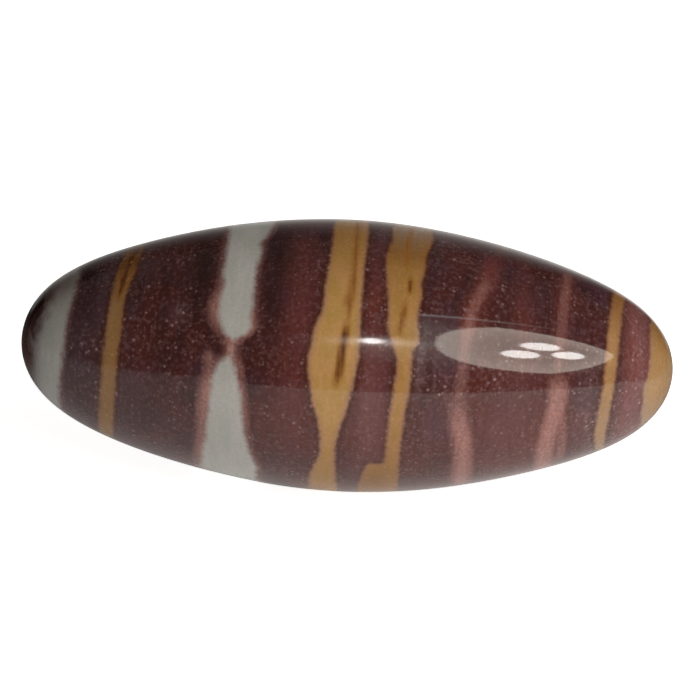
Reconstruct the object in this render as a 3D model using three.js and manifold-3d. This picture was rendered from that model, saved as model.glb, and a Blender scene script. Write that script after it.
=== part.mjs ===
// A shiva lingam: one banded river stone, ground and polished to a long egg shape, lying on its side.
// Millimetres, +Z up. X runs from tip to tip, the underside is on z = 0, and the origin is under the middle.
import * as THREE from "three";
import { mergeVertices } from "three/addons/utils/BufferGeometryUtils.js";
import Module from "manifold-3d";

// Driving dimensions. The section is a little wider than it is high, because the stone lies on its flatter side.
const LENGTH = 100;
const WIDTH = 43.6;
const HEIGHT = 41.6;
// How deep the underside is worn flat where it rests: the flat is an oval of about 13 by 6.5 mm.
const FOOT_DEPTH = 0.25;

// How the outline departs from a true ellipse, as shares of its own radius. It is trimmed at the shoulders and
// full at the tips, which makes the ends blunt, and its -X half is a little thicker than its +X half.
const SHOULDER_TRIM = 0.169;
const TIP_FULLNESS = 0.254;
const HEAVY_END = 0.009;

// Facets: steps from tip to tip, and sides around.
const PROFILE_STEPS = 60;
const SIDES = 64;

const STONE_COLOUR = "#5c3331";
const POLISH_ROUGHNESS = 0.1;

// Vertices closer than this are one vertex, in millimetres.
const WELD = 1e-3;

const wasm = await Module();
wasm.setup();

// The outline from the -X tip to the +X tip, as (radius, distance along), for a stone 2 long and 2 thick.
function unitOutline() {
  const points = [];
  for (let step = 0; step <= PROFILE_STEPS; step++) {
    const angle = (Math.PI * step) / PROFILE_STEPS;
    const along = -Math.cos(angle);
    const fullness = 1 - SHOULDER_TRIM * along ** 2 + TIP_FULLNESS * along ** 4 - HEAVY_END * along;
    const atTip = step === 0 || step === PROFILE_STEPS;
    points.push(new THREE.Vector2(atTip ? 0 : Math.sin(angle) * fullness, along));
  }
  return points;
}

// A closed three.js geometry as a solid that can be cut.
function solidOf(geometry) {
  geometry.deleteAttribute("normal");
  geometry.deleteAttribute("uv");
  const welded = mergeVertices(geometry, WELD);
  return new wasm.Manifold(
    new wasm.Mesh({
      numProp: 3,
      vertProperties: welded.getAttribute("position").array,
      triVerts: new Uint32Array(welded.getIndex().array),
    }),
  );
}

// A cut solid back as a three.js geometry.
function geometryOf(solid) {
  const cut = solid.getMesh();
  const geometry = new THREE.BufferGeometry();
  geometry.setAttribute("position", new THREE.BufferAttribute(cut.vertProperties, cut.numProp));
  geometry.setIndex(new THREE.BufferAttribute(cut.triVerts, 1));
  geometry.computeVertexNormals();
  return geometry;
}

// The whole egg, before its foot is worn: the outline turned about the long axis, then sized to the section.
function eggGeometry() {
  const egg = new THREE.LatheGeometry(unitOutline(), SIDES);
  egg.rotateZ(-Math.PI / 2);
  egg.scale(LENGTH / 2, WIDTH / 2, HEIGHT / 2);
  egg.translate(0, 0, HEIGHT / 2 - FOOT_DEPTH);
  return egg;
}

// Everything below the surface that the stone rests on.
function groundGeometry() {
  const ground = new THREE.BoxGeometry(LENGTH, WIDTH, HEIGHT);
  ground.translate(0, 0, -HEIGHT / 2);
  return ground;
}

function lingamStone() {
  const stone = solidOf(eggGeometry()).subtract(solidOf(groundGeometry()));
  const polished = new THREE.MeshStandardMaterial({
    color: STONE_COLOUR,
    roughness: POLISH_ROUGHNESS,
    metalness: 0,
  });
  const mesh = new THREE.Mesh(geometryOf(stone), polished);
  mesh.name = "lingam_stone";
  return mesh;
}

const lingam = new THREE.Group();
lingam.add(lingamStone());

export default lingam;
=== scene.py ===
# A polished river stone with bands of maroon, ochre and grey-green, lying on a pale studio floor.
# Metres. +X is the ochre tip, -Y faces the camera, and the floor is z = 0.
import math

import bpy
import numpy as np
from mathutils import Matrix, Vector


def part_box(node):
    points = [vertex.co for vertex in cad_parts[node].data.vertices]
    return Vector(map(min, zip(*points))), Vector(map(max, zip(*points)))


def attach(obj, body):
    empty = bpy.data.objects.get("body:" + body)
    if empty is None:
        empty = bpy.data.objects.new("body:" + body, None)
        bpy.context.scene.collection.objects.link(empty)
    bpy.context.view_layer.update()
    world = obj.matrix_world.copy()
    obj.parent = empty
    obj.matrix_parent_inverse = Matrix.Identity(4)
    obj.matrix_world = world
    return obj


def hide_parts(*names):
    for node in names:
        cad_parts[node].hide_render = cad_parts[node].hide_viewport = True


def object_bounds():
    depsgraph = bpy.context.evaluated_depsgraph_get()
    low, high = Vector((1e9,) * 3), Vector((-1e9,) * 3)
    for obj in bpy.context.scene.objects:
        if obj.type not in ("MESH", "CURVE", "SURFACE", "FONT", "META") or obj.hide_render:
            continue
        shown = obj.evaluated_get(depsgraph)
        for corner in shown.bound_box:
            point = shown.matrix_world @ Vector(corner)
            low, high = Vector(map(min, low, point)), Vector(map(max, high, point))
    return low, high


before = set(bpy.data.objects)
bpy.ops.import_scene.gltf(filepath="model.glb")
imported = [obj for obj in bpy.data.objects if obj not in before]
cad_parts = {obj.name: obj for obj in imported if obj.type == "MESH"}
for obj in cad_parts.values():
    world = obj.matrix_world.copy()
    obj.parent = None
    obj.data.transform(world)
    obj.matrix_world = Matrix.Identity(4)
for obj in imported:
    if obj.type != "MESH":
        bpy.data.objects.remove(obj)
cad_low, cad_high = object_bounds()

# The camera stands close in front of the stone and looks down on it. It leans a little to its left, which
# makes the stone's right end hang lower in the picture.
CAMERA_DISTANCE = 0.33
CAMERA_RISE = math.radians(20)
CAMERA_LEAN = math.radians(2.87)
NEAREST_SEEN = 0.01
# The width of the picture where the stone is, and how far the aim is off its middle, to the right and up.
PICTURE_WIDTH = 0.1076
AIM_OFF = (0.0004, 0.0007)


def place_camera(middle):
    """Puts the camera on a line that rises at CAMERA_RISE from the middle, and turns its level frame."""
    forward = Vector((0, math.cos(CAMERA_RISE), -math.sin(CAMERA_RISE)))
    level = Vector((1, 0, 0))
    upright = level.cross(forward)
    right = level * math.cos(CAMERA_LEAN) + upright * math.sin(CAMERA_LEAN)
    up = upright * math.cos(CAMERA_LEAN) - level * math.sin(CAMERA_LEAN)
    data = bpy.data.cameras.new("camera")
    data.angle = 2 * math.atan(PICTURE_WIDTH / 2 / CAMERA_DISTANCE)
    data.clip_start = NEAREST_SEEN
    camera = bpy.data.objects.new("camera", data)
    turned = Matrix((right, up, -forward)).transposed().to_4x4()
    aim = middle + level * AIM_OFF[0] + upright * AIM_OFF[1]
    camera.matrix_world = Matrix.Translation(aim - forward * CAMERA_DISTANCE) @ turned
    bpy.context.scene.collection.objects.link(camera)
    bpy.context.scene.camera = camera


place_camera((cad_low + cad_high) / 2)

# The stone: one river pebble of silica-cemented sandstone, ground by hand to a long egg and polished until
# it mirrors the room. It lies loose, on a quarter of a millimetre of worn flat.
MM = 0.001
stone_low, stone_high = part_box("lingam_stone")
STONE_LENGTH = stone_high.x - stone_low.x
STONE_WIDTH = stone_high.y - stone_low.y
FOOT_DEPTH = 0.25 * MM
STONE_HEIGHT = stone_high.z - stone_low.z + FOOT_DEPTH
# How the outline departs from an ellipse, as shares of its own radius: trimmed shoulders, full tips, a
# heavy end.
SHOULDER_TRIM = 0.169
TIP_FULLNESS = 0.254
HEAVY_END = 0.009
# Rings from tip to tip, and points round each ring.
RINGS = 270
RING_POINTS = 320
# Hand grinding leaves the surface wandering by a few hundredths of a millimetre, always inwards. Each slow
# wave is (its pace along the stone, its turns round it, its start).
WANDER = 0.03 * MM
SLOW_WAVES = ((5.1, 2, 0), (8.3, -3, 1), (12.7, 1, 2))


def egg_grid():
    """Angles of every mesh point: along runs from the dark tip to the ochre tip, and round starts behind
    the stone and runs under it, up its front and over its top. Both are grids, with the tips left out."""
    along = np.pi * np.arange(1, RINGS) / RINGS
    round_it = 2 * np.pi * np.arange(RING_POINTS) / RING_POINTS - np.pi
    return np.meshgrid(along, round_it, indexing="ij")


def egg_surface(along, round_it):
    """The egg's points. With t = -cos(along), the radius is sin(along) times 1 - trim t^2 + fullness t^4 -
    heavy t, and the section is an ellipse of the stone's width and height. Slow waves push the surface in,
    and what would be under the floor is worn flat on it."""
    t = -np.cos(along)
    fullness = 1 - SHOULDER_TRIM * t**2 + TIP_FULLNESS * t**4 - HEAVY_END * t
    slow = sum(1 + np.sin(pace * t + turns * round_it + start) for pace, turns, start in SLOW_WAVES)
    radius = np.sin(along) * (fullness - WANDER * slow / STONE_HEIGHT)
    x = STONE_LENGTH / 2 * t
    y = -STONE_WIDTH / 2 * radius * np.cos(round_it)
    z = STONE_HEIGHT / 2 * (1 + radius * np.sin(round_it)) - FOOT_DEPTH
    return np.stack([x, y, np.maximum(z, 0)], axis=-1)


def closed_mesh(name, rings, first_tip, last_tip):
    """A closed skin over a grid of rings: quads between neighbouring rings, and a fan of triangles to each
    tip."""
    count, around = rings.shape[:2]
    points = np.concatenate([rings.reshape(-1, 3), [first_tip, last_tip]])
    here = np.arange(around)
    after = (here + 1) % around
    start = (np.arange(count - 1) * around)[:, None]
    quads = np.stack([start + here, start + after, start + after + around, start + here + around], axis=-1)
    last = (count - 1) * around
    near_fan = np.stack([after, here, np.full(around, count * around)], axis=-1)
    far_fan = np.stack([last + here, last + after, np.full(around, count * around + 1)], axis=-1)
    faces = quads.reshape(-1, 4).tolist() + near_fan.tolist() + far_fan.tolist()
    mesh = bpy.data.meshes.new(name)
    mesh.from_pydata(points.tolist(), [], faces)
    mesh.shade_smooth()
    return mesh


# The bands. Each edge is a list of marks, (degrees round the stone, millimetres from its middle along it): 0
# degrees faces the front, 90 is the top, 180 the back and -90 the underside. They are places as the camera
# sees them, so true_marks takes out what its nearness enlarges.
PALE_END_LEFT = ((-60, -49.4), (-25, -48.7), (0, -48.4), (20, -47.7), (42, -46.7), (65, -45.7),
                 (110, -46.4), (180, -47.8))
PALE_END_RIGHT = ((-50, -43.5), (-20, -43.9), (10, -43.6), (40, -43.1), (60, -42.3), (80, -41.9),
                  (120, -41.2), (180, -42.6), (230, -43.6))
THIN_OCHRE_LEFT = ((-50, -37.5), (-20, -37.6), (10, -37.4), (30, -37.1), (50, -36.6), (70, -35.7),
                   (80, -35.1), (90, -34.6), (105, -34.3), (140, -34.1), (180, -35.4), (230, -37.0))
THIN_OCHRE_RIGHT = ((-50, -35.2), (-20, -35.3), (10, -35.2), (30, -34.8), (50, -34.4), (66, -33.2),
                    (75, -32.7), (87, -32.2), (105, -31.9), (125, -32.1), (180, -33.8), (240, -35.0))
PALE_WAIST_LEFT = ((-60, -21.6), (-40, -21.3), (-20, -21.0), (0, -20.7), (9, -20.3), (14.5, -19.6),
                   (17.3, -18.5), (19, -17.4), (22, -17.1), (25.3, -17.3), (26.6, -18.0), (28, -18.7),
                   (30.5, -19.3), (36, -20.0), (42, -20.1), (50, -19.5), (60, -19.5), (70, -19.2),
                   (90, -18.9), (120, -18.4), (150, -17.6), (180, -17.9), (210, -19.2), (250, -21.2))
PALE_WAIST_RIGHT = ((-50, -13.0), (-42, -13.0), (-30, -14.2), (-20, -15.1), (-10, -15.6), (0, -16.1),
                    (9, -16.8), (14.5, -17.3), (17.3, -17.8), (19, -18.1), (22, -18.3), (25.3, -17.8),
                    (26.6, -17.0), (28, -16.1), (30.5, -15.3), (36, -15.1), (50, -14.9), (60, -14.7),
                    (70, -14.1), (78, -13.9), (83, -13.2), (90, -12.5), (105, -12.0), (120, -11.6),
                    (150, -12.4), (180, -13.6), (210, -13.9), (250, -13.1))
OCHRE_A_LEFT = ((-60, -5.0), (-40, -4.7), (-34, -4.3), (-28, -3.6), (-20, -3.5), (-12, -3.8), (-6, -4.3),
                (0, -5.0), (8, -5.5), (18, -6.0), (25, -5.6), (34, -5.0), (39, -4.2), (50, -3.9),
                (60, -3.5), (75, -3.1), (95, -2.9), (120, -2.5), (150, -1.8), (180, -2.4), (210, -3.8),
                (250, -4.9))
OCHRE_A_RIGHT = ((-60, -0.4), (-40, -0.9), (-30, -1.1), (-18, -1.0), (-10, -0.4), (-4, 0.2), (4, 0.8),
                 (11, 1.3), (18, 1.7), (40, 1.8), (60, 2.0), (80, 2.3), (100, 2.4), (125, 2.7), (150, 3.6),
                 (180, 3.2), (210, 1.4), (250, 0.0))
OCHRE_B_LEFT = ((-80, 5.2), (-60, 5.6), (-46, 5.9), (-38, 6.0), (-32, 6.3), (-26, 6.6), (-20, 6.7),
                (-8, 6.9), (8, 7.4), (20, 7.7), (26, 7.0), (32, 6.2), (45, 6.0), (52, 5.7), (60, 5.4),
                (70, 5.4), (78, 5.9), (100, 6.1), (125, 6.9), (150, 7.4), (180, 6.6), (205, 5.0),
                (250, 3.4))
OCHRE_B_RIGHT = ((-60, 8.7), (-30, 8.8), (-15, 8.95), (0, 9.5), (12, 10.0), (21, 10.05), (24.5, 10.2),
                 (27, 10.75), (31, 10.9), (38, 10.6), (50, 11.0), (56, 10.9), (62, 11.3), (74, 11.5),
                 (82, 12.1), (100, 12.2), (125, 12.6), (150, 12.0), (180, 10.8), (210, 9.6), (250, 8.8))
# A spur on the left of that band runs under the stone from a level upper edge.
SPUR_LEFT = ((-60, 2.5), (-46, 2.9), (-38, 3.3), (-33, 3.8), (-20, 5.0), (60, 8.0), (150, 8.0), (205, 6.5),
             (250, 3.4))
SPUR_RIGHT = ((0, 8.0),)
SPUR_TOP = -28.3
OCHRE_C_LEFT = ((-45, 38.8), (-30, 38.5), (-10, 38.9), (10, 39.5), (30, 39.7), (50, 39.9), (70, 40.2),
                (100, 40.5), (140, 41.2), (180, 40.2), (230, 39.2))
OCHRE_C_RIGHT = ((-45, 40.1), (-30, 40.2), (-10, 40.7), (10, 41.2), (30, 41.5), (60, 41.8), (90, 42.2),
                 (140, 42.6), (180, 41.4), (230, 40.4))
OCHRE_TIP_LEFT = ((-50, 45.4), (-10, 45.6), (8, 45.8), (16, 46.2), (30, 46.4), (60, 46.3), (90, 46.3),
                  (140, 46.1), (180, 45.8), (240, 45.3))
# The far side of the ochre tip's band, past the end of the stone.
PAST_THE_TIP = ((0, 60.0),)
OCHRE_BANDS = (
    (THIN_OCHRE_LEFT, THIN_OCHRE_RIGHT),
    (OCHRE_A_LEFT, OCHRE_A_RIGHT),
    (OCHRE_B_LEFT, OCHRE_B_RIGHT),
    (OCHRE_C_LEFT, OCHRE_C_RIGHT),
    (OCHRE_TIP_LEFT, PAST_THE_TIP),
)
# The left edge of the pale end fades into the dark tip over three times the usual width.
PALE_END_SOFTNESS = 3
# The pale waist's edges are softest round its neck: by what share, where, and how far along and round.
NECK_SOFTNESS = 0.45
NECK_MIDDLE = (-17.5, 22)
NECK_SIZE = (4, 9)


def true_marks(marks):
    """The marks without the camera's perspective. A point nearer than the stone's middle looks larger by
    its nearness over the camera's distance, so its place, and the sine of its angle from the camera's
    height, shrink by that."""
    seen, place = np.array(sorted(marks), float).T
    facing = np.radians(seen) - CAMERA_RISE
    t = np.clip(place * MM / (STONE_LENGTH / 2), -1, 1)
    girth = np.sqrt(1 - t**2) * (1 - SHOULDER_TRIM * t**2 + TIP_FULLNESS * t**4)
    share = STONE_WIDTH / 2 * girth * np.maximum(np.cos(facing), 0) / CAMERA_DISTANCE
    turned = np.where(np.cos(facing) > 0, np.arcsin(np.sin(facing) * (1 - share)), facing)
    return np.degrees(turned + CAMERA_RISE), place * (1 - share)


def round_the_stone(marks, degrees):
    """A smooth closed curve through the marks: between two marks it is a cubic whose slope at each is that
    of the straight line between that mark's neighbours."""
    at, value = true_marks(marks)
    if len(at) == 1:
        return np.full_like(degrees, value[0])
    at = np.concatenate([at[-2:] - 360, at, at[:3] + 360])
    value = np.concatenate([value[-2:], value, value[:3]])
    slope = np.gradient(value, at)
    degrees = (degrees - at[1]) % 360 + at[1]
    i = np.clip(np.searchsorted(at, degrees, side="right") - 1, 0, len(at) - 2)
    gap = at[i + 1] - at[i]
    s = (degrees - at[i]) / gap
    rise = slope[i] * gap
    fall = slope[i + 1] * gap
    step = value[i + 1] - value[i]
    return value[i] + s * rise + s**2 * (3 * step - 2 * rise - fall) + s**3 * (rise + fall - 2 * step)


def band_depth(place, degrees, left, right, softness=1):
    """How deep a point lies inside a band, in millimetres, negative outside. Softness above 1 widens the
    fade of the left edge by that factor."""
    from_left = (place - round_the_stone(left, degrees)) / softness
    return np.minimum(from_left, round_the_stone(right, degrees) - place)


def spur_depth(place, degrees):
    """How deep a point lies inside the spur, in millimetres: it is cut off level above, where a degree
    round the stone is an arc of its half height."""
    arc = math.radians(STONE_HEIGHT / 2 / MM)
    return np.minimum(band_depth(place, degrees, SPUR_LEFT, SPUR_RIGHT), (SPUR_TOP - degrees) * arc)


def vein(place, degrees, course, reach, width, fade):
    """A soft streak along a course: exp(-|off / width|^3) with off and width in millimetres, fading in over
    `fade` degrees at each end of its reach."""
    off = (place - round_the_stone(course, degrees)) / width
    start, end = reach
    within = (degrees - start) % 360
    ends = np.clip(np.minimum(within, (end - start) - within) / fade, 0, 1)
    return np.exp(-np.abs(off) ** 3) * ends


def patch(place, degrees, middle, size):
    """A soft patch: a bell both ways, with middle and size in millimetres along and degrees round."""
    turn = (degrees - middle[1] + 180) % 360 - 180
    return np.exp(-(((place - middle[0]) / size[0]) ** 2) - (turn / size[1]) ** 2)


def veins(place, degrees, rows):
    """All the veins of a table, each times its strength."""
    return [strength * vein(place, degrees, *row) for strength, *row in rows]


def patches(place, degrees, rows):
    """All the patches of a table, each times its strength."""
    return [strength * patch(place, degrees, *row) for strength, *row in rows]


def ramp(value, start, full):
    """A straight rise from 0 at start to 1 at full."""
    return np.clip((value - start) / (full - start), 0, 1)


def below(degrees, start, full):
    """A rise down the front of the stone, 0 at start and 1 at full, that fades again towards its back."""
    return ramp(degrees, start, full) * ramp(degrees, -180, -90)


# Tables of what varies inside and beside the bands. A vein is (strength, course, the degrees between which
# it runs, its width in millimetres, the degrees in which it fades in), and a course is a list of marks, as
# an edge is. A patch is (strength, middle, size), in millimetres along and degrees round.
ALL_ROUND = math.inf

# Salmon: two soft veins with a fork, the neck of the pale waist, and a blush beside the pale bands.
SALMON_ONE = ((-60, 18.5), (-45, 18.4), (-30, 18.5), (-20, 18.4), (-10, 17.8), (0, 17.5), (12, 17.8),
              (30, 18.2), (45, 19.0), (60, 20.6), (80, 22.0), (140, 23.5), (200, 21.0))
SALMON_TWO = ((-60, 30.8), (-30, 31.1), (-15, 31.8), (0, 32.6), (20, 32.5), (45, 32.8), (80, 33.2),
              (140, 34.5), (200, 32.5))
SALMON_FORK = ((-50, 33.2), (-20, 33.6), (-10, 33.4), (2, 32.9))
WAIST_NECK = ((10, -18.6), (22, -17.85), (30, -17.6))
WAIST_HOOK = ((-60, -21.9), (-20, -21.8), (0, -21.6), (10, -21.5), (18, -22.0))
SALMON_VEINS = (
    (0.42, SALMON_ONE, (-75, 68), 1.0, 12),
    (0.83, SALMON_ONE, (-75, 16), 1.5, 25),
    (0.25, SALMON_ONE, (-75, 16), 2.4, 12),
    (0.3, SALMON_ONE, (60, 290), 1.2, 40),
    (0.85, SALMON_TWO, (-80, 20), 1.5, 12),
    (0.35, SALMON_TWO, (10, 95), 0.9, 12),
    (0.4, SALMON_TWO, (80, 290), 1.1, 40),
    (0.5, SALMON_FORK, (-55, 4), 0.8, 12),
    (1.0, WAIST_NECK, (12, 34), 0.75, 5),
    (0.5, WAIST_HOOK, (-80, 21), 0.5, 6),
)
SALMON_PATCHES = (
    (1.1, (-16.7, 24.5), (1.3, 2.6)),
    (0.8, (-15.1, 29), (0.8, 3)),
    (0.8, (-19.9, 16.5), (0.7, 4)),
)
BLUSH = 0.4
BLUSH_PATCHES = (
    (0.5, (-20.5, 40), (2.5, 10)),
    (0.45, (-14.6, 31), (1.5, 7)),
    (0.6, (-22, -15), (2.2, 45)),
    (0.3, (-15.5, 0), (2, 25)),
    (0.5, (-21, 4), (2, 14)),
)
# Right of this place, as at the pale waist, the blush is full. The right edge of the pale end, between
# two places, has a share of it.
BLUSH_FROM = -30
PALE_END_BLUSH = 0.8
PALE_END_BLUSHES = (-46, -38)
# It lies in the band and this far beside it before it fades. Its width squared is the first of two numbers
# plus the second times its strength.
BLUSH_MARGIN = 0.2
BLUSH_WIDTH = (0.3, 1.3)

# Iron: dark streaks in the broad ochre bands, and the brown gap that splits the top of the thin one.
STREAK_A = ((5, -1.5), (16, -1.05), (26, -0.65), (35, -0.25), (45, 0.2), (60, 0.5), (80, 0.6), (100, 0.8))
STREAK_A_BACK = ((110, 0.9), (150, 1.2), (180, 0.2), (215, -1.8), (240, -2.4))
STREAK_B_LOW = ((28, 7.9), (36, 8.1), (44, 8.5), (50, 8.7))
STREAK_B_SPOT = ((46, 9.1), (58, 9.2))
STREAK_B_HIGH = ((58, 8.4), (75, 8.4), (95, 8.9))
STREAK_B_BACK = ((105, 9.0), (140, 10.2), (180, 8.4), (215, 7.2), (250, 6.4))
THIN_GAP = ((44, -35.6), (52, -35.3), (69, -34.5), (87, -33.35), (105, -33.1), (140, -33.1), (170, -34.6))
IRON_VEINS = (
    (0.55, STREAK_A, (28, 130), 0.55, 12),
    (0.95, STREAK_A, (6, 36), 0.6, 7),
    (0.6, STREAK_A_BACK, (120, 235), 0.4, 20),
    (0.6, STREAK_B_LOW, (28, 47), 0.55, 5),
    (0.85, STREAK_B_SPOT, (46, 58), 0.45, 4),
    (0.5, STREAK_B_HIGH, (55, 120), 0.5, 12),
    (0.5, STREAK_B_BACK, (100, 170), 0.35, 20),
    (0.45, STREAK_B_BACK, (185, 250), 0.5, 20),
    (1.0, THIN_GAP, (44, 175), 0.45, 8),
    (0.72, THIN_GAP, (50, 175), 2.5, 20),
)
IRON_PATCHES = ((0.6, (-0.2, 43), (0.7, 4)),)

# Dark: the left tip, which reaches further over the top and is partly the stone's own dark maroon and partly
# painted shade where the left end lies away from the lights, and patches beside the pale waist and at the
# back.
DARK_TIP = 1.5
DARK_TIP_MIDDLE = -51
DARK_TIP_REACH = 4.1
DARK_TIP_MORE_ABOVE = 1.5
DARK_PATCHES = (
    (1.0, (-21.6, 60), (2.0, 26)),
    (1.0, (-10.5, 66), (2.2, 30)),
    (0.3, (-40.5, 45), (3, 30)),
    (0.7, (-43, 74), (3, 20)),
    (0.4, (-40, -30), (3, 30)),
    (0.6, (-29, 160), (5, 50)),
    (0.6, (27, 120), (6, 60)),
)

# Red: the maroon is warmest beside the ochre and along the salmon veins. Over the lower front it is a little
# redder and lighter all over, which is painted light from the white floor.
RED_PAINTED_LIGHT_BELOW = 0.16
RED_VEINS = (
    (0.6, SALMON_ONE, (22, 85), 1.7, 12),
    (0.35, SALMON_TWO, (22, 95), 1.5, 12),
)
RED_PATCHES = (
    (0.5, (-48.5, 10), (2.5, 45)),
    (0.13, (-29, 14), (5, 22)),
    (0.35, (-8, -5), (5, 25)),
    (0.5, (-7, 40), (2.6, 36)),
    (0.45, (3.6, 0), (2.6, 24)),
    (0.45, (3.8, 45), (2, 35)),
    (0.3, (4, -10), (5, 40)),
    (0.42, (25, -10), (10, 40)),
    (0.4, (25.5, 45), (1.6, 35)),
    (1.2, (43.5, 0), (2.5, ALL_ROUND)),
)

# Purple: the strip between the pale end and the thin ochre band, and one before the ochre tip. The lower
# front of the left end is purple too, a painted reflection: the mauve cast that the white floor gives it in
# the polish.
PURPLE_PAINTED_REFLECTION = 0.35
PURPLE_REFLECTION_ENDS = -20
PURPLE_PATCHES = (
    (0.9, (-40.5, 20), (4, 120)),
    (0.6, (44, 0), (1.8, ALL_ROUND)),
)

# Bloom: grey, crowded grains, most of all right of the second broad band and at the right end. Low on the
# front of the right end the grey is a painted reflection of the white sheet.
BESIDE_B = ((0, 10.5), (15, 11.0), (25, 11.3), (38, 11.6))
BLOOM_VEINS = ((0.9, BESIDE_B, (2, 42), 0.9, 10),)
BLOOM_RIGHT = 0.22
GREY_REFLECTION_RIGHT_BELOW = 0.45
BLOOM_PATCHES = (
    (0.4, (-40.5, 18), (3, 16)),
    (0.28, (-35, 30), (2.5, 70)),
    (0.6, (-33, 84), (3, 20)),
    (0.5, (-24.6, 37), (1.1, 6)),
    (0.55, (3.6, 0), (2.0, 22)),
    (0.9, (8.5, 94), (5, 19)),
    (0.22, (13, -6), (3, 20)),
    (0.35, (14, 22), (3, 14)),
    (0.25, (24.5, -12), (4, 20)),
    (0.2, (24.5, 14), (4, 14)),
    (0.6, (35.3, -8), (2.2, 22)),
    (0.45, (43.8, 0), (1.6, ALL_ROUND)),
    (0.25, (48.5, 14), (2.5, 20)),
)

# How light the ochre is, 0 for brown and 1 for bright, at places along the stone. It is browner towards the
# top, which is painted shade, and browner under the two broad bands, in the spur, and at the top of the
# second broad band.
OCHRE_LIGHT = ((-38, 0.24), (-34, 0.24), (-6, 1.0), (2, 1.0), (6, 0.68), (10, 0.68), (38, 0.46), (42, 0.46),
               (46, 0.48))
PAINTED_SHADE_ABOVE = 0.52
BROWNER_BELOW = 0.5
BROAD_BANDS = (-30, 20)
BROWNER_SPUR = (0.4, (4.3, -48), (2.2, 20))
BROWNER_B_TOP = 0.5
BAND_B = (4, 14)


def ochre_light(place, degrees):
    """How light the ochre is at each place: the lightness of its band, less what makes it browner, of which
    the browning towards the top is painted shade.
    """
    light = np.interp(place, *zip(*OCHRE_LIGHT))
    above = PAINTED_SHADE_ABOVE * ramp(degrees, 40, 75)
    under = BROWNER_BELOW * ramp(degrees, -5, -45) * (place > BROAD_BANDS[0]) * (place < BROAD_BANDS[1])
    spur = patches(place, degrees, [BROWNER_SPUR])[0]
    b_top = BROWNER_B_TOP * ramp(degrees, 60, 78) * ramp(degrees, 175, 130)
    return light - above - under - spur - b_top * (place > BAND_B[0]) * (place < BAND_B[1])


def blush(place, degrees, pale):
    """The salmon along the edges of the pale bands: exp(-depth^2 / width^2) outside them, stronger and
    wider where they blush most."""
    pale_end = (place > PALE_END_BLUSHES[0]) * (place < PALE_END_BLUSHES[1])
    share = (place > BLUSH_FROM) + PALE_END_BLUSH * pale_end
    strength = share * (BLUSH + sum(patches(place, degrees, BLUSH_PATCHES)))
    outside = np.minimum(pale + BLUSH_MARGIN, 0)
    return strength * np.exp(-(outside**2) / (BLUSH_WIDTH[0] + BLUSH_WIDTH[1] * strength))


def dark_and_shaded_tip(place, degrees):
    """The dark of the left tip, partly its own colour and partly painted shade: exp(-(off / reach)^4), with
    a reach that grows over the top.
    """
    reach = DARK_TIP_REACH + DARK_TIP_MORE_ABOVE * ramp(degrees, 25, 85) * ramp(degrees, 180, 140)
    return DARK_TIP * np.exp(-(((place - DARK_TIP_MIDDLE) / reach) ** 4))


def band_layers(place, degrees):
    """The layers that the material reads at every point, by name. Depths are in millimetres."""
    pale = np.maximum(
        band_depth(place, degrees, PALE_END_LEFT, PALE_END_RIGHT, PALE_END_SOFTNESS),
        band_depth(place, degrees, PALE_WAIST_LEFT, PALE_WAIST_RIGHT),
    )
    pale = pale * (1 - NECK_SOFTNESS * patch(place, degrees, NECK_MIDDLE, NECK_SIZE))
    ochre = [band_depth(place, degrees, left, right) for left, right in OCHRE_BANDS]
    salmon = veins(place, degrees, SALMON_VEINS) + patches(place, degrees, SALMON_PATCHES)
    iron = veins(place, degrees, IRON_VEINS) + patches(place, degrees, IRON_PATCHES)
    dark = patches(place, degrees, DARK_PATCHES)
    red = veins(place, degrees, RED_VEINS) + patches(place, degrees, RED_PATCHES)
    purple = patches(place, degrees, PURPLE_PATCHES)
    bloom = veins(place, degrees, BLOOM_VEINS) + patches(place, degrees, BLOOM_PATCHES)
    red_painted_light_below = RED_PAINTED_LIGHT_BELOW * below(degrees, 8, -12)
    purple_painted_reflection = PURPLE_PAINTED_REFLECTION * below(degrees, 5, -15) * (place < PURPLE_REFLECTION_ENDS)
    bloom_right = BLOOM_RIGHT * ramp(place, 37, 39)
    grey_reflection_below = GREY_REFLECTION_RIGHT_BELOW * ramp(place, 35, 37) * below(degrees, 12, -18)
    # The dark layer carries painted shade at the left tip, and the red, purple and bloom layers carry
    # painted light and reflection low on the front.
    return {
        "pale_depth": pale,
        "ochre_depth": np.maximum.reduce([*ochre, spur_depth(place, degrees)]),
        "ochre_light": ochre_light(place, degrees),
        "salmon": np.clip(np.maximum.reduce([*salmon, blush(place, degrees, pale)]), 0, 1),
        "iron": np.clip(np.maximum.reduce(iron), 0, 1),
        "dark_and_shade": np.clip(sum(dark) + dark_and_shaded_tip(place, degrees), 0, 1),
        "red_and_painted_light": np.clip(sum(red) + red_painted_light_below, 0, 1),
        "purple_and_painted_reflection": np.clip(sum(purple) + purple_painted_reflection, 0, 1),
        "bloom": np.clip(sum(bloom) + bloom_right + grey_reflection_below, 0, 1),
    }


def make_stone():
    """The egg's mesh, with one value of every layer at each of its points."""
    along, round_it = egg_grid()
    middle_height = STONE_HEIGHT / 2 - FOOT_DEPTH
    tips = [(stone_low.x, 0, middle_height), (stone_high.x, 0, middle_height)]
    mesh = closed_mesh("polished_stone", egg_surface(along, round_it), *tips)
    place_of_tips = [stone_low.x / MM, stone_high.x / MM]
    place = np.append((-np.cos(along) * STONE_LENGTH / 2 / MM).ravel(), place_of_tips)
    degrees = np.append(np.degrees(round_it).ravel(), [0, 0])
    for name, values in band_layers(place, degrees).items():
        mesh.attributes.new(name, "FLOAT", "POINT").data.foreach_set("value", values.astype(np.float32))
    piece = bpy.data.objects.new("polished_stone", mesh)
    bpy.context.scene.collection.objects.link(piece)
    return piece


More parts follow.
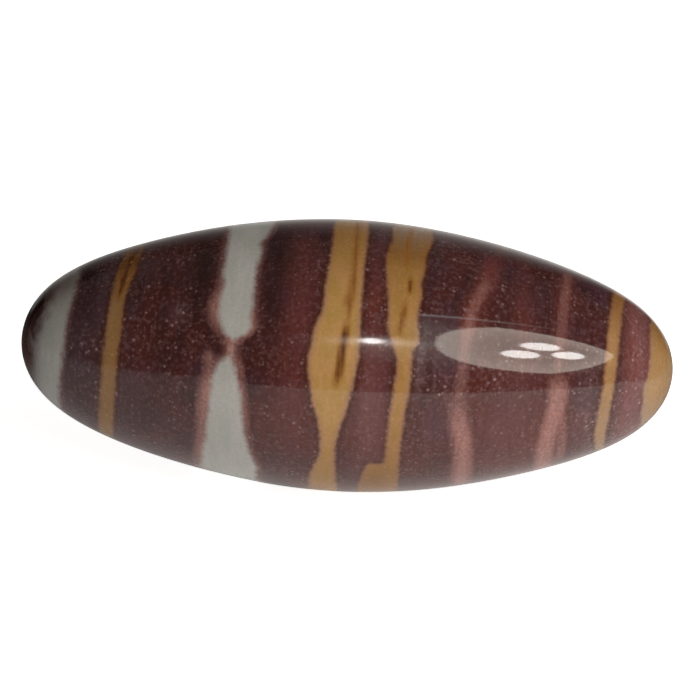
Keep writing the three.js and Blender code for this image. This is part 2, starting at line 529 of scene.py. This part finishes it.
def linear(code):
    """An sRGB hex colour as linear red, green and blue, with alpha 1."""
    parts = [int(code[i:i + 2], 16) / 255 for i in (1, 3, 5)]
    return (*(c / 12.92 if c <= 0.04045 else ((c + 0.055) / 1.055) ** 2.4 for c in parts), 1)


def add_node(tree, kind, inputs=None, **settings):
    """Adds a shader node. Settings are its own properties, and inputs maps each socket to what feeds it: a
    value, an output of another node, or another node, which gives its first output."""
    made = tree.nodes.new("ShaderNode" + kind)
    for name, value in settings.items():
        setattr(made, name, value)
    for name, value in (inputs or {}).items():
        if isinstance(value, bpy.types.Node):
            value = value.outputs[0]
        if isinstance(value, bpy.types.NodeSocket):
            tree.links.new(value, made.inputs[name])
        else:
            made.inputs[name].default_value = value
    return made


# Sandstone cemented and polished. Colours are as the eye sees them in even light.
MAROON = "#4e241f"
MAROON_DARK = "#2b1815"
MAROON_PURPLE = "#4b2c34"
MAROON_RED = "#804037"
PALE = "#c6c4c0"
PALE_GREEN = "#b7bab0"
OCHRE = "#c89961"
OCHRE_OLIVE = "#ba934f"
OCHRE_PINK = "#b98b69"
OCHRE_BROWN = "#925c24"
OLIVE_BROWN = "#836621"
OCHRE_GREY = "#a8a29c"
OCHRE_SPECK = "#dcae6a"
SALMON = "#b7847b"
IRON_BROWN = "#5f3413"
RUST = "#9a6228"
FRINGE_BROWN = "#4a2512"
SPECK = "#a08085"
BLOOM_GREY = "#84797c"
# How much of a layer's colour shows where the layer is 1.
DARK_SHARE = 0.8
RED_SHARE = 0.8
LAMINA_SHARE = 0.6
SALMON_SHARE = 0.9
BLOOM_SHARE = 0.3
OCHRE_BLOOM_SHARE = 0.42
OCHRE_SPECK_SHARE = 0.5
OLIVE_SHARE = 0.72
BROWN_CORE_SHARE = 0.3
RUST_SHARE = 0.8
# The brown fringe of the ochre: the depths over which it comes up, and its share in plain and red maroon.
FRINGE_DEPTHS = (-1.1, -0.3)
FRINGE_SHARES = (0.72, 0.15)
# The depths over which an ochre band's core comes up.
CORE_DEPTHS = (0.1, 0.9)
# How far the edges of the bands are ragged and wavy, either way, and how far they fade, in millimetres.
RAGGED_BY = 0.14
WAVY_BY = 0.16
PALE_FADE = 0.6
OCHRE_FADE = 0.38
# Quartz refracts at about 1.54. The polish is nearly a mirror, and torn grains are duller.
QUARTZ_IOR = 1.54
POLISH = 0.05
TORN = 0.2
# The noises, each with its size in millimetres, its stretch round the stone against along it, and its
# detail: the teeth and the waves of the edges, sheets laid down across the stone and threads in them,
# clouds in the maroon, fine sand, clusters of pale grains, and the mottle in the ochre.
NOISES = {
    "ragged": (0.7, 1.0, 2.0),
    "wavy": (2.4, 1.0, 1.0),
    "lamina": (2.2, 0.3, 3.0),
    "thread": (0.55, 0.12, 2.0),
    "cloud": (7.0, 1.0, 2.0),
    "sand": (0.42, 1.0, 2.0),
    "salt": (0.65, 1.0, 1.0),
    "mottle": (1.6, 0.45, 2.0),
}
# The sparkling grains: spacing in millimetres, the share that shows, and how strongly the best one does.
QUARTZ_GRAINS = ((0.8, 0.22, 0.8), (0.52, 0.25, 0.62))
SALT_SHARE = 0.22
# The range that most of a noise's values fall in, and the gains over it: the noise, and the gain where it
# is least and where it is most.
NOISE_RANGE = {"From Min": 0.3, "From Max": 0.7}
GAINS = {
    "thread": ("thread", 0.8, 1.2),
    "sand": ("sand", 0.78, 1.25),
    "salmon": ("sand", 0.88, 1.14),
    "specks": ("cloud", 1.3, 0.4),
}
# How strongly a gain shows over the finished colours: on the maroon, and on the pale and ochre bands.
OVERLAYS = (("sand", 0.6, 0.28), ("thread", 0.5, 0.14))


def polished_sandstone():
    """Banded sandstone under a mirror polish: what the eye gets is dark maroon with pale sparkling grains,
    ragged edges on the ochre and pale bands, and clear reflections over all of it."""
    material = bpy.data.materials.new("polished_sandstone")
    material.use_nodes = True
    tree = material.node_tree
    tree.nodes.clear()
    smooth = {"interpolation_type": "SMOOTHSTEP"}
    where = add_node(tree, "TexCoord").outputs["Object"]
    layer = {}
    for name in ("pale_depth", "ochre_depth", "ochre_light", "salmon", "iron", "dark_and_shade", "red_and_painted_light",
                 "purple_and_painted_reflection", "bloom"):
        layer[name] = add_node(tree, "Attribute", attribute_name=name).outputs["Fac"]
    noise = {}
    for name, (size, stretch, detail) in NOISES.items():
        drawn = add_node(tree, "Mapping", {"Vector": where, "Scale": (1.0, stretch, stretch)})
        noise[name] = add_node(tree, "TexNoise", {
            "Vector": drawn, "Scale": 1 / (size * MM), "Detail": detail})
    gain = {}
    for name, (source, least, most) in GAINS.items():
        gain[name] = add_node(tree, "MapRange", {
            "Value": noise[source], **NOISE_RANGE, "To Min": least, "To Max": most})

    # The masks of the bands, with edges that are ragged, and wavy too where they are pale.
    ragged = add_node(tree, "MapRange", {
        "Value": noise["ragged"], "From Min": 0.25, "From Max": 0.75, "To Min": -RAGGED_BY,
        "To Max": RAGGED_BY})
    wavy = add_node(tree, "MapRange", {
        "Value": noise["wavy"], **NOISE_RANGE, "To Min": -WAVY_BY, "To Max": WAVY_BY})
    both = add_node(tree, "Math", {0: ragged, 1: wavy}, operation="ADD")
    pale_at = add_node(tree, "Math", {0: layer["pale_depth"], 1: both}, operation="ADD")
    ochre_at = add_node(tree, "Math", {0: layer["ochre_depth"], 1: ragged}, operation="ADD")
    pale_mask = add_node(tree, "MapRange", {
        "Value": pale_at, "From Min": -PALE_FADE, "From Max": PALE_FADE}, **smooth)
    ochre_mask = add_node(tree, "MapRange", {
        "Value": ochre_at, "From Min": -OCHRE_FADE, "From Max": OCHRE_FADE}, **smooth)
    fringe_share = add_node(tree, "MapRange", {
        "Value": layer["red_and_painted_light"], "To Min": FRINGE_SHARES[0], "To Max": FRINGE_SHARES[1]})
    fringe_mask = add_node(tree, "MapRange", {
        "Value": ochre_at, "From Min": FRINGE_DEPTHS[0], "From Max": FRINGE_DEPTHS[1],
        "To Max": fringe_share}, **smooth)
    core_mask = add_node(tree, "MapRange", {
        "Value": ochre_at, "From Min": CORE_DEPTHS[0], "From Max": CORE_DEPTHS[1]}, **smooth)

    # The clouds, sheets and olive mottle as masks.
    cloudy = add_node(tree, "MapRange", {"Value": noise["cloud"], "From Min": 0.4, "From Max": 0.65})
    sheeted = add_node(tree, "MapRange", {
        "Value": noise["lamina"], "From Min": 0.42, "From Max": 0.7, "To Max": LAMINA_SHARE})
    olive = add_node(tree, "MapRange", {
        "Value": noise["mottle"], "From Min": 0.4, "From Max": 0.62, "To Max": OLIVE_SHARE})

    # The grains: clusters of pale sand, and two sizes of quartz grain that sparkle, each with its own
    # chance. They are sparse in the clouds and the dark patches, and dense in the bloom.
    specks = add_node(tree, "MapRange", {
        "Value": noise["salt"], "From Min": 0.4, "From Max": 0.85, "To Max": SALT_SHARE}, **smooth)
    for size, chance, strength in QUARTZ_GRAINS:
        grains = add_node(tree, "TexVoronoi", {"Vector": where, "Scale": 1 / (size * MM)})
        pick = add_node(tree, "SeparateColor", {"Color": grains.outputs["Color"]})
        shown = add_node(tree, "MapRange", {
            "Value": pick, "From Min": 1 - chance, "From Max": 1.0, "To Max": strength})
        disc = add_node(tree, "MapRange", {
            "Value": grains.outputs["Distance"], "From Min": 0.45, "From Max": 0.05}, **smooth)
        specks = add_node(tree, "Math", {0: shown, 1: disc, 2: specks}, operation="MULTIPLY_ADD")
    sparse = add_node(tree, "MapRange", {"Value": layer["dark_and_shade"], "To Min": 1.0, "To Max": 0.3})
    dense = add_node(tree, "MapRange", {"Value": layer["bloom"], "To Min": 1.0, "To Max": 2.0})
    specks = add_node(tree, "Math", {0: specks, 1: gain["specks"]}, operation="MULTIPLY", use_clamp=True)
    specks = add_node(tree, "Math", {0: specks, 1: sparse}, operation="MULTIPLY")
    specks = add_node(tree, "Math", {0: specks, 1: dense}, operation="MULTIPLY", use_clamp=True)
    ochre_specks = add_node(tree, "Math", {0: specks, 1: OCHRE_SPECK_SHARE}, operation="MULTIPLY")

    # The body: cloudy maroon, laid down in thin sheets across the stone, with its dark, red and bloomy
    # patches, then the salmon, broken up by the sand, the brown fringe of the ochre, and the grains. Its
    # dark at the left tip is partly painted shade, and its red, purple and grey low on the front are partly
    # painted light and reflection.
    purple = add_node(tree, "Math", {0: layer["purple_and_painted_reflection"], 1: cloudy}, operation="ADD", use_clamp=True)
    dark = add_node(tree, "Math", {0: layer["dark_and_shade"], 1: DARK_SHARE}, operation="MULTIPLY")
    red = add_node(tree, "Math", {0: layer["red_and_painted_light"], 1: RED_SHARE}, operation="MULTIPLY")
    bloom = add_node(tree, "Math", {0: layer["bloom"], 1: BLOOM_SHARE}, operation="MULTIPLY")
    salmon_at = add_node(tree, "Math", {0: layer["salmon"], 1: gain["salmon"]}, operation="MULTIPLY")
    salmon = add_node(tree, "MapRange", {
        "Value": salmon_at, "From Min": 0.12, "From Max": 1.0, "To Max": SALMON_SHARE})
    body = linear(MAROON)
    for share, colour in ((purple, MAROON_PURPLE), (sheeted, MAROON_DARK), (dark, MAROON_DARK),
                          (red, MAROON_RED), (bloom, BLOOM_GREY), (salmon, SALMON),
                          (fringe_mask, FRINGE_BROWN), (specks, SPECK)):
        body = add_node(tree, "MixRGB", {"Fac": share, "Color1": body, "Color2": linear(colour)})

    # The ochre bands: pinkish at their margins, mottled olive in the core, brown where they are dark, with
    # iron streaks that have a rusty halo, and with pale grains.
    core = add_node(tree, "MixRGB", {"Fac": olive, "Color1": linear(OCHRE), "Color2": linear(OCHRE_OLIVE)})
    bright = add_node(tree, "MixRGB", {"Fac": core_mask, "Color1": linear(OCHRE_PINK), "Color2": core})
    brown_core = add_node(tree, "Math", {0: core_mask, 1: BROWN_CORE_SHARE}, operation="MULTIPLY")
    brown = add_node(tree, "MixRGB", {
        "Fac": brown_core, "Color1": linear(OCHRE_BROWN), "Color2": linear(OLIVE_BROWN)})
    ochre = add_node(tree, "MixRGB", {"Fac": layer["ochre_light"], "Color1": brown, "Color2": bright})
    # The grey of the bloom, which low on the right end is a painted reflection of the white sheet.
    ochre_bloom = add_node(tree, "Math", {0: layer["bloom"], 1: OCHRE_BLOOM_SHARE}, operation="MULTIPLY")
    iron_at = add_node(tree, "Math", {0: layer["iron"], 1: gain["thread"]}, operation="MULTIPLY")
    rust = add_node(tree, "MapRange", {
        "Value": iron_at, "From Min": 0.05, "From Max": 0.5, "To Max": RUST_SHARE})
    iron = add_node(tree, "MapRange", {"Value": iron_at, "From Min": 0.4, "From Max": 0.9})
    for share, colour in ((ochre_bloom, OCHRE_GREY), (rust, RUST), (iron, IRON_BROWN),
                          (ochre_specks, OCHRE_SPECK)):
        ochre = add_node(tree, "MixRGB", {"Fac": share, "Color1": ochre, "Color2": linear(colour)})
    banded = add_node(tree, "MixRGB", {"Fac": ochre_mask, "Color1": body, "Color2": ochre})

    # The pale bands: chalky grey with a green cast in places, and lost in the body at the dark tip, whose
    # dark is partly painted shade.
    pale = add_node(tree, "MixRGB", {"Fac": sheeted, "Color1": linear(PALE), "Color2": linear(PALE_GREEN)})
    pale = add_node(tree, "MixRGB", {"Fac": dark, "Color1": pale, "Color2": body})
    banded = add_node(tree, "MixRGB", {"Fac": pale_mask, "Color1": banded, "Color2": pale})

    # Sand and threads lie over all of it, faintest on the pale and ochre bands.
    chalky = add_node(tree, "Math", {0: pale_mask, 1: ochre_mask}, operation="MAXIMUM")
    for name, most, least in OVERLAYS:
        share = add_node(tree, "MapRange", {"Value": chalky, "To Min": most, "To Max": least})
        banded = add_node(tree, "MixRGB", {
            "Fac": share, "Color1": banded, "Color2": gain[name]}, blend_type="MULTIPLY")

    # A few grains are torn open and stay duller than the polish, which hazes the highlights a little.
    dull = add_node(tree, "MapRange", {
        "Value": noise["sand"], "From Min": 0.58, "From Max": 0.75, "To Min": POLISH, "To Max": TORN})
    skin = add_node(tree, "BsdfPrincipled", {"Base Color": banded, "Roughness": dull, "IOR": QUARTZ_IOR})
    add_node(tree, "OutputMaterial", {"Surface": skin})
    return material


stone = make_stone()
stone.data.materials.append(polished_sandstone())
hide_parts("lingam_stone")
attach(stone, "root")

# The floor: a large board painted matt white, lying flat under the stone. It glows a little, so that the
# stone stands in white with a faint shadow. Only the camera sees it: the polish mirrors the sheet below.
FLOOR_REACH = 4.0
MATT_WHITE = "#f4f4f4"
FLOOR_GLOW = 0.97


def flat_sheet(name, profile, half_width):
    """A sheet drawn out along X: the profile's (y, z) points, repeated at both ends of its width."""
    points = [(x, y, z) for y, z in profile for x in (-half_width, half_width)]
    faces = [(2 * i, 2 * i + 1, 2 * i + 3, 2 * i + 2) for i in range(len(profile) - 1)]
    mesh = bpy.data.meshes.new(name)
    mesh.from_pydata(points, [], faces)
    made = bpy.data.objects.new(name, mesh)
    bpy.context.scene.collection.objects.link(made)
    return made


def matt_white(name, glow):
    """Matt white paint or paper, with an even glow added: the eye gets plain white without a shine."""
    material = bpy.data.materials.new(name)
    material.use_nodes = True
    skin = material.node_tree.nodes["Principled BSDF"]
    skin.inputs["Base Color"].default_value = linear(MATT_WHITE)
    skin.inputs["Roughness"].default_value = 1.0
    skin.inputs["Specular IOR Level"].default_value = 0.0
    skin.inputs["Emission Color"].default_value = linear(MATT_WHITE)
    skin.inputs["Emission Strength"].default_value = glow
    return material


floor = flat_sheet("floor", ((-FLOOR_REACH, 0), (FLOOR_REACH, 0)), FLOOR_REACH)
floor.data.materials.append(matt_white("matt_white_board", FLOOR_GLOW))
floor.visible_glossy = False
floor.visible_diffuse = False
floor.visible_shadow = False

# The white sheet that the stone mirrors and that fills its shadows: matt paper that lies just under the
# board, ends about 20 cm in front of the stone, where the dark room begins, and sweeps up behind it. It
# glows, and how light falls over it, its shadows included, is painted into its colour and glow.
SHEET_FRONT = -0.21
SHEET_BACK = 0.42
SHEET_TOP = 0.45
SHEET_HALF_WIDTH = 0.8
SHEET_UNDER = -0.0005
COVE_RADIUS = 0.12
COVE_STEPS = 12
SHEET_GLOW = 0.25
# How light the sheet is at most, and the height over which its light fades, as exp(-z / height).
SHEET_LIGHTNESS = 0.9
SHEET_FADE_HEIGHT = 0.15
# Its left lies away from the lamp and is darker: place and lightness on the dark and the bright side.
DARK_SIDE = (-0.4, 0.1)
BRIGHT_SIDE = (0.1, 1.12)
# The left part, from the first of these to the second, fades out over this depth at the front edge.
LEFT_PART = (-0.08, -0.2)
FRONT_FADE = 0.14
# On the far right it fades out between these places, which lie further right in front, by a slant.
FAR_RIGHT = (0.12, 0.23)
FAR_RIGHT_LEFT_OVER = 0.05
FRONT_SLANT = 0.3
# Two shadows of the stone are painted on it behind: the lamp's, to the left, and a fainter painted shade to
# the right. Each is a straight streak: the way it runs, how far its middle line is off the stone's, and how
# dark it is.
SHADOWS = (((-0.72, 0.69, 0.0), 0.02, 0.9), ((0.85, 0.53, 0.0), 0.0, 0.75))
# Where a shadow starts and is full along it, and where its soft sides end and start.
SHADOW_STARTS = (0.03, 0.08)
SHADOW_SIDES = (0.0825, 0.0275)


def shade_sheet(tree):
    """How light the white sheet is at each place, painted into its colour and glow: all its fades, times
    what its two painted shadows leave.
    """
    point = add_node(tree, "TexCoord").outputs["Object"]
    xyz = add_node(tree, "SeparateXYZ", {0: point})
    fade = add_node(tree, "Math", {0: xyz.outputs["Z"], 1: -1 / SHEET_FADE_HEIGHT}, operation="MULTIPLY")
    shade = add_node(tree, "Math", {0: fade}, operation="EXPONENT")
    shade = add_node(tree, "Math", {0: shade, 1: SHEET_LIGHTNESS}, operation="MULTIPLY")
    side = add_node(tree, "MapRange", {
        "Value": xyz.outputs["X"], "From Min": DARK_SIDE[0], "From Max": BRIGHT_SIDE[0],
        "To Min": DARK_SIDE[1], "To Max": BRIGHT_SIDE[1]})
    front = add_node(tree, "MapRange", {
        "Value": xyz.outputs["Y"], "From Min": SHEET_FRONT, "From Max": SHEET_FRONT + FRONT_FADE})
    leftness = add_node(tree, "MapRange", {
        "Value": xyz.outputs["X"], "From Min": LEFT_PART[0],
        "From Max": LEFT_PART[1]}, interpolation_type="SMOOTHSTEP")
    front_left = add_node(tree, "MixRGB", {"Fac": leftness, "Color1": linear("#ffffff"), "Color2": front})
    slant = add_node(tree, "MapRange", {
        "Value": xyz.outputs["Y"], "From Min": SHEET_FRONT, "From Max": 0.0, "To Min": FRONT_SLANT,
        "To Max": 0.0})
    slanted = add_node(tree, "Math", {0: xyz.outputs["X"], 1: slant}, operation="SUBTRACT")
    far_right = add_node(tree, "MapRange", {
        "Value": slanted, "From Min": FAR_RIGHT[0], "From Max": FAR_RIGHT[1], "To Min": 1.0,
        "To Max": FAR_RIGHT_LEFT_OVER})
    for factor in (side, front_left, far_right):
        shade = add_node(tree, "Math", {0: shade, 1: factor}, operation="MULTIPLY")
    for away, shift, depth in SHADOWS:
        aside = (away[1], -away[0], 0.0)
        run = add_node(tree, "VectorMath", {0: point, 1: away}, operation="DOT_PRODUCT")
        off = add_node(tree, "VectorMath", {0: point, 1: aside}, operation="DOT_PRODUCT")
        off = add_node(tree, "Math", {0: off.outputs["Value"], 1: shift}, operation="ADD")
        off = add_node(tree, "Math", {0: off}, operation="ABSOLUTE")
        in_run = add_node(tree, "MapRange", {
            "Value": run.outputs["Value"], "From Min": SHADOW_STARTS[0],
            "From Max": SHADOW_STARTS[1]}, interpolation_type="SMOOTHSTEP")
        in_width = add_node(tree, "MapRange", {
            "Value": off, "From Min": SHADOW_SIDES[0], "From Max": SHADOW_SIDES[1],
            "To Max": depth}, interpolation_type="SMOOTHSTEP")
        shadow = add_node(tree, "Math", {0: in_run, 1: in_width}, operation="MULTIPLY")
        lit = add_node(tree, "Math", {0: 1.0, 1: shadow}, operation="SUBTRACT")
        shade = add_node(tree, "Math", {0: shade, 1: lit}, operation="MULTIPLY")
    for socket in ("Base Color", "Emission Color"):
        tree.links.new(shade.outputs[0], tree.nodes["Principled BSDF"].inputs[socket])


cove_turns = [math.pi / 2 * i / COVE_STEPS for i in range(COVE_STEPS + 1)]
cove = [(SHEET_BACK - COVE_RADIUS * (1 - math.sin(a)), COVE_RADIUS * (1 - math.cos(a))) for a in cove_turns]
sheet_profile = ((SHEET_FRONT, SHEET_UNDER), *cove, (SHEET_BACK, SHEET_TOP))
sheet = flat_sheet("white_sheet", sheet_profile, SHEET_HALF_WIDTH)
sheet.data.materials.append(matt_white("matt_white_paper", SHEET_GLOW))
shade_sheet(sheet.data.materials[0].node_tree)
sheet.visible_camera = False
sheet.visible_shadow = False

# The lamp: a soft pale shade on a stand, to the right and above, with three bright bulbs in it, and a small
# flash with a dimmer rim over the camera. Directions are (yaw to the right of the front, rise above level),
# and they and the half angles are in degrees, as seen from the stone's middle.
LAMP_DIRECTION = (46.3, 29.7)
LAMP_DISTANCE = 1.2
LAMP_HALF_ANGLE = 20.3
LAMP_GLOW = (4.0, 3.7, 3.2)
# The shade narrows to a point on its far side: its half width there is the disc's times
# 1 - LAMP_NARROWING (a + LAMP_WAIST), with a the place along its axis, 1 at the rim.
LAMP_TURN = math.radians(-9)
LAMP_NARROWING = 0.53
LAMP_WAIST = 0.14
# Its brightness in its middle and at its rim, and how far out its middle ends and its edge starts to fade.
LAMP_MIDDLE = 0.7
LAMP_RIM = 1.16
LAMP_MIDDLE_ENDS = 0.4
LAMP_EDGE = 0.98
# Each bulb's direction, and how much wider than high it is.
BULBS = (((39.0, 28.0), 1.02), ((46.9, 34.7), 1.2), ((50.6, 26.7), 1.25))
BULB_DISTANCE = 1.164
BULB_HALF_ANGLE = 3.4
BULB_GLOW = (14.0, 13.8, 13.6)
FLASH_DIRECTION = (6.9, 36)
FLASH_DISTANCE = 0.6
FLASH_HALF_ANGLE = 2.0
FLASH_GLOW = (10.8, 10.7, 11.0)
RIM_DISTANCE = 0.606
RIM_HALF_ANGLE = 2.5
RIM_WIDENING = 1.25
RIM_GLOW = (6.0, 5.9, 5.9)


def toward(yaw, rise):
    """The unit direction at a yaw to the right of the front and a rise above level, both in degrees."""
    yaw, rise = math.radians(yaw), math.radians(rise)
    return Vector((math.sin(yaw) * math.cos(rise), -math.cos(yaw) * math.cos(rise), math.sin(rise)))


def from_the_middle(direction, distance):
    """The point that lies that far from the stone's middle in a direction."""
    return toward(*direction) * distance + Vector((0, 0, STONE_HEIGHT / 2))


def disc_light(name, direction, distance, half_angle, glow, widening=1.0):
    """A round lamp that faces the stone's middle, or an oval one where it is widened. Its power is its
    radiance times pi times its area."""
    radius = distance * math.tan(math.radians(half_angle))
    strength = max(glow)
    data = bpy.data.lights.new(name, "AREA")
    data.shape = "ELLIPSE"
    data.size = 2 * radius * widening
    data.size_y = 2 * radius
    data.energy = strength * math.pi * math.pi * radius**2 * widening
    data.color = tuple(c / strength for c in glow)
    made = bpy.data.objects.new(name, data)
    made.location = from_the_middle(direction, distance)
    made.rotation_euler = toward(*direction).to_track_quat("Z", "Y").to_euler()
    bpy.context.scene.collection.objects.link(made)
    return made


def shape_lamp(data):
    """Shapes the lamp's disc to a drop, and shades it from its middle to its rim. Parametric runs from 0 to
    1 across the disc, so its offset from the middle is doubled to reach 1 at the rim."""
    data.use_nodes = True
    tree = data.node_tree
    place = add_node(tree, "NewGeometry").outputs["Parametric"]
    off = add_node(tree, "VectorMath", {0: place, 1: (0.5, 0.5, 0.0)}, operation="SUBTRACT")
    axis = (2 * math.cos(LAMP_TURN), 2 * math.sin(LAMP_TURN), 0.0)
    across = (-2 * math.sin(LAMP_TURN), 2 * math.cos(LAMP_TURN), 0.0)
    a = add_node(tree, "VectorMath", {0: off, 1: axis}, operation="DOT_PRODUCT")
    b = add_node(tree, "VectorMath", {0: off, 1: across}, operation="DOT_PRODUCT")
    width = add_node(tree, "MapRange", {
        "Value": a.outputs["Value"], "From Min": -LAMP_WAIST, "From Max": 1.0, "To Min": 1.0,
        "To Max": 1 - LAMP_NARROWING * (1 + LAMP_WAIST)})
    widened = add_node(tree, "Math", {0: b.outputs["Value"], 1: width}, operation="DIVIDE")
    both = add_node(tree, "CombineXYZ", {"X": a.outputs["Value"], "Y": widened})
    reach = add_node(tree, "VectorMath", {0: both}, operation="LENGTH")
    shade = add_node(tree, "MapRange", {
        "Value": reach.outputs["Value"], "From Min": LAMP_MIDDLE_ENDS, "From Max": 1.0,
        "To Min": LAMP_MIDDLE, "To Max": LAMP_RIM})
    inside = add_node(tree, "MapRange", {
        "Value": reach.outputs["Value"], "From Min": 1.0, "From Max": LAMP_EDGE})
    shade = add_node(tree, "Math", {0: shade, 1: inside}, operation="MULTIPLY")
    tree.links.new(shade.outputs[0], tree.nodes["Emission"].inputs["Strength"])


lamp = disc_light("round_lamp", LAMP_DIRECTION, LAMP_DISTANCE, LAMP_HALF_ANGLE, LAMP_GLOW)
shape_lamp(lamp.data)
for number, (direction, widening) in enumerate(BULBS):
    disc_light(f"bulb_{number + 1}", direction, BULB_DISTANCE, BULB_HALF_ANGLE, BULB_GLOW, widening)
disc_light("flash", FLASH_DIRECTION, FLASH_DISTANCE, FLASH_HALF_ANGLE, FLASH_GLOW)
disc_light("flash_rim", FLASH_DIRECTION, RIM_DISTANCE, RIM_HALF_ANGLE, RIM_GLOW, RIM_WIDENING)

# The rail: a thin strip of glow high on the right of the room, which stands in for a white rail there. Only
# the polish shows it. Its points are directions, its half height is in degrees, and its glow falls off along
# X: (place, glow).
RAIL_DIRECTIONS = ((29.3, 58.9), (43.4, 56.6), (57.1, 52.2), (64.0, 48.8), (70.0, 45.5))
RAIL_DISTANCE = 1.4
RAIL_HALF_HEIGHT = 0.95
RAIL_BRIGHT = (0.4925, 1.7)
RAIL_DIM = (0.8782, 0.17)


def haze(name, mesh):
    """An object that only reflections see, with a skin that adds a glow to what lies behind it. Returns the
    skin's node tree and its emission node."""
    made = bpy.data.objects.new(name, mesh)
    bpy.context.scene.collection.objects.link(made)
    made.visible_camera = False
    made.visible_diffuse = False
    made.visible_shadow = False
    skin = bpy.data.materials.new(name)
    skin.use_nodes = True
    skin.node_tree.nodes.clear()
    emission = add_node(skin.node_tree, "Emission")
    clear = add_node(skin.node_tree, "BsdfTransparent")
    both = add_node(skin.node_tree, "AddShader", {0: emission, 1: clear})
    add_node(skin.node_tree, "OutputMaterial", {"Surface": both})
    mesh.materials.append(skin)
    return skin.node_tree, emission


rail_points = [
    from_the_middle((yaw, rise + step), RAIL_DISTANCE)
    for yaw, rise in RAIL_DIRECTIONS
    for step in (-RAIL_HALF_HEIGHT, RAIL_HALF_HEIGHT)
]
rail_faces = [(2 * i, 2 * i + 2, 2 * i + 3, 2 * i + 1) for i in range(len(RAIL_DIRECTIONS) - 1)]
rail_mesh = bpy.data.meshes.new("rail")
rail_mesh.from_pydata(rail_points, [], rail_faces)
rail_tree, rail_emission = haze("rail", rail_mesh)
rail_xyz = add_node(rail_tree, "SeparateXYZ", {0: add_node(rail_tree, "TexCoord").outputs["Object"]})
rail_fade = add_node(rail_tree, "MapRange", {
    "Value": rail_xyz.outputs["X"], "From Min": RAIL_BRIGHT[0], "From Max": RAIL_DIM[0],
    "To Min": RAIL_BRIGHT[1], "To Max": RAIL_DIM[1]})
rail_tree.links.new(rail_fade.outputs[0], rail_emission.inputs["Strength"])

# Two soft studio lights on stands that the polish doesn't mirror: one from the right brightens the ochre
# end, and a low one behind the stone, which casts no shadow, keeps its back out of the dark.
SIDE_DIRECTION = (78, 22)
SIDE_HALF_ANGLE = 15
SIDE_GLOW = (3.2, 3.15, 3.1)
BACK_DIRECTION = (170, 12)
BACK_HALF_ANGLE = 20
BACK_GLOW = (2.2, 2.1, 2.0)
side_light = disc_light("side_light", SIDE_DIRECTION, LAMP_DISTANCE, SIDE_HALF_ANGLE, SIDE_GLOW)
side_light.visible_glossy = False
back_light = disc_light("back_light", BACK_DIRECTION, LAMP_DISTANCE, BACK_HALF_ANGLE, BACK_GLOW)
back_light.visible_glossy = False
back_light.data.use_shadow = False

# The room: dim and even, but white where the camera looks past the board.
ROOM_GLOW = 0.07
ROOM_COLOUR = "#fff8f0"
PAST_THE_BOARD = "#ffffff"
# Soft ovals of glare that only the polish shows: each one's direction, its spread up and down in degrees,
# how much wider than high it is, and its glow in the middle. It fades out as exp(-(off / spread)^2).
GLARES = (
    ((8.5, 36), 3.2, 2.5, 5.0),
    ((13, 29), 8.0, 1.5, 0.9),
    ((26, 47), 9.0, 0.7, 0.7),
    ((50, 18), 8.0, 1.8, 0.45),
)
room = bpy.data.worlds.new("room")
bpy.context.scene.world = room
room.use_nodes = True
room_tree = room.node_tree
room_tree.nodes.clear()
ray = add_node(room_tree, "LightPath")
# In a world, Generated is the direction that a ray leaves in.
way = add_node(room_tree, "TexCoord").outputs["Generated"]
glow = ROOM_GLOW
for direction, spread, widening, strength in GLARES:
    middle = toward(*direction)
    aside = Vector((0, 0, 1)).cross(middle).normalized()
    above = middle.cross(aside)
    high = math.tan(math.radians(spread))
    wide = high * widening
    off_aside = add_node(room_tree, "VectorMath", {0: way, 1: aside / wide}, operation="DOT_PRODUCT")
    off_above = add_node(room_tree, "VectorMath", {0: way, 1: above / high}, operation="DOT_PRODUCT")
    square = add_node(room_tree, "Math", {0: off_above.outputs["Value"], 1: 2.0}, operation="POWER")
    square = add_node(room_tree, "Math", {
        0: off_aside.outputs["Value"], 1: off_aside.outputs["Value"], 2: square}, operation="MULTIPLY_ADD")
    less = add_node(room_tree, "Math", {0: square, 1: -1.0}, operation="MULTIPLY")
    bell = add_node(room_tree, "Math", {0: less}, operation="EXPONENT")
    shown = add_node(room_tree, "Math", {0: bell, 1: ray.outputs["Is Glossy Ray"]}, operation="MULTIPLY")
    glow = add_node(room_tree, "Math", {0: shown, 1: strength, 2: glow}, operation="MULTIPLY_ADD")
dim = add_node(room_tree, "Background", {"Color": linear(ROOM_COLOUR), "Strength": glow})
white = add_node(room_tree, "Background", {"Color": linear(PAST_THE_BOARD), "Strength": 1.0})
either = add_node(room_tree, "MixShader", {0: ray.outputs["Is Camera Ray"], 1: dim, 2: white})
add_node(room_tree, "OutputWorld", {"Surface": either})
bpy.context.scene.view_settings.view_transform = "Standard"
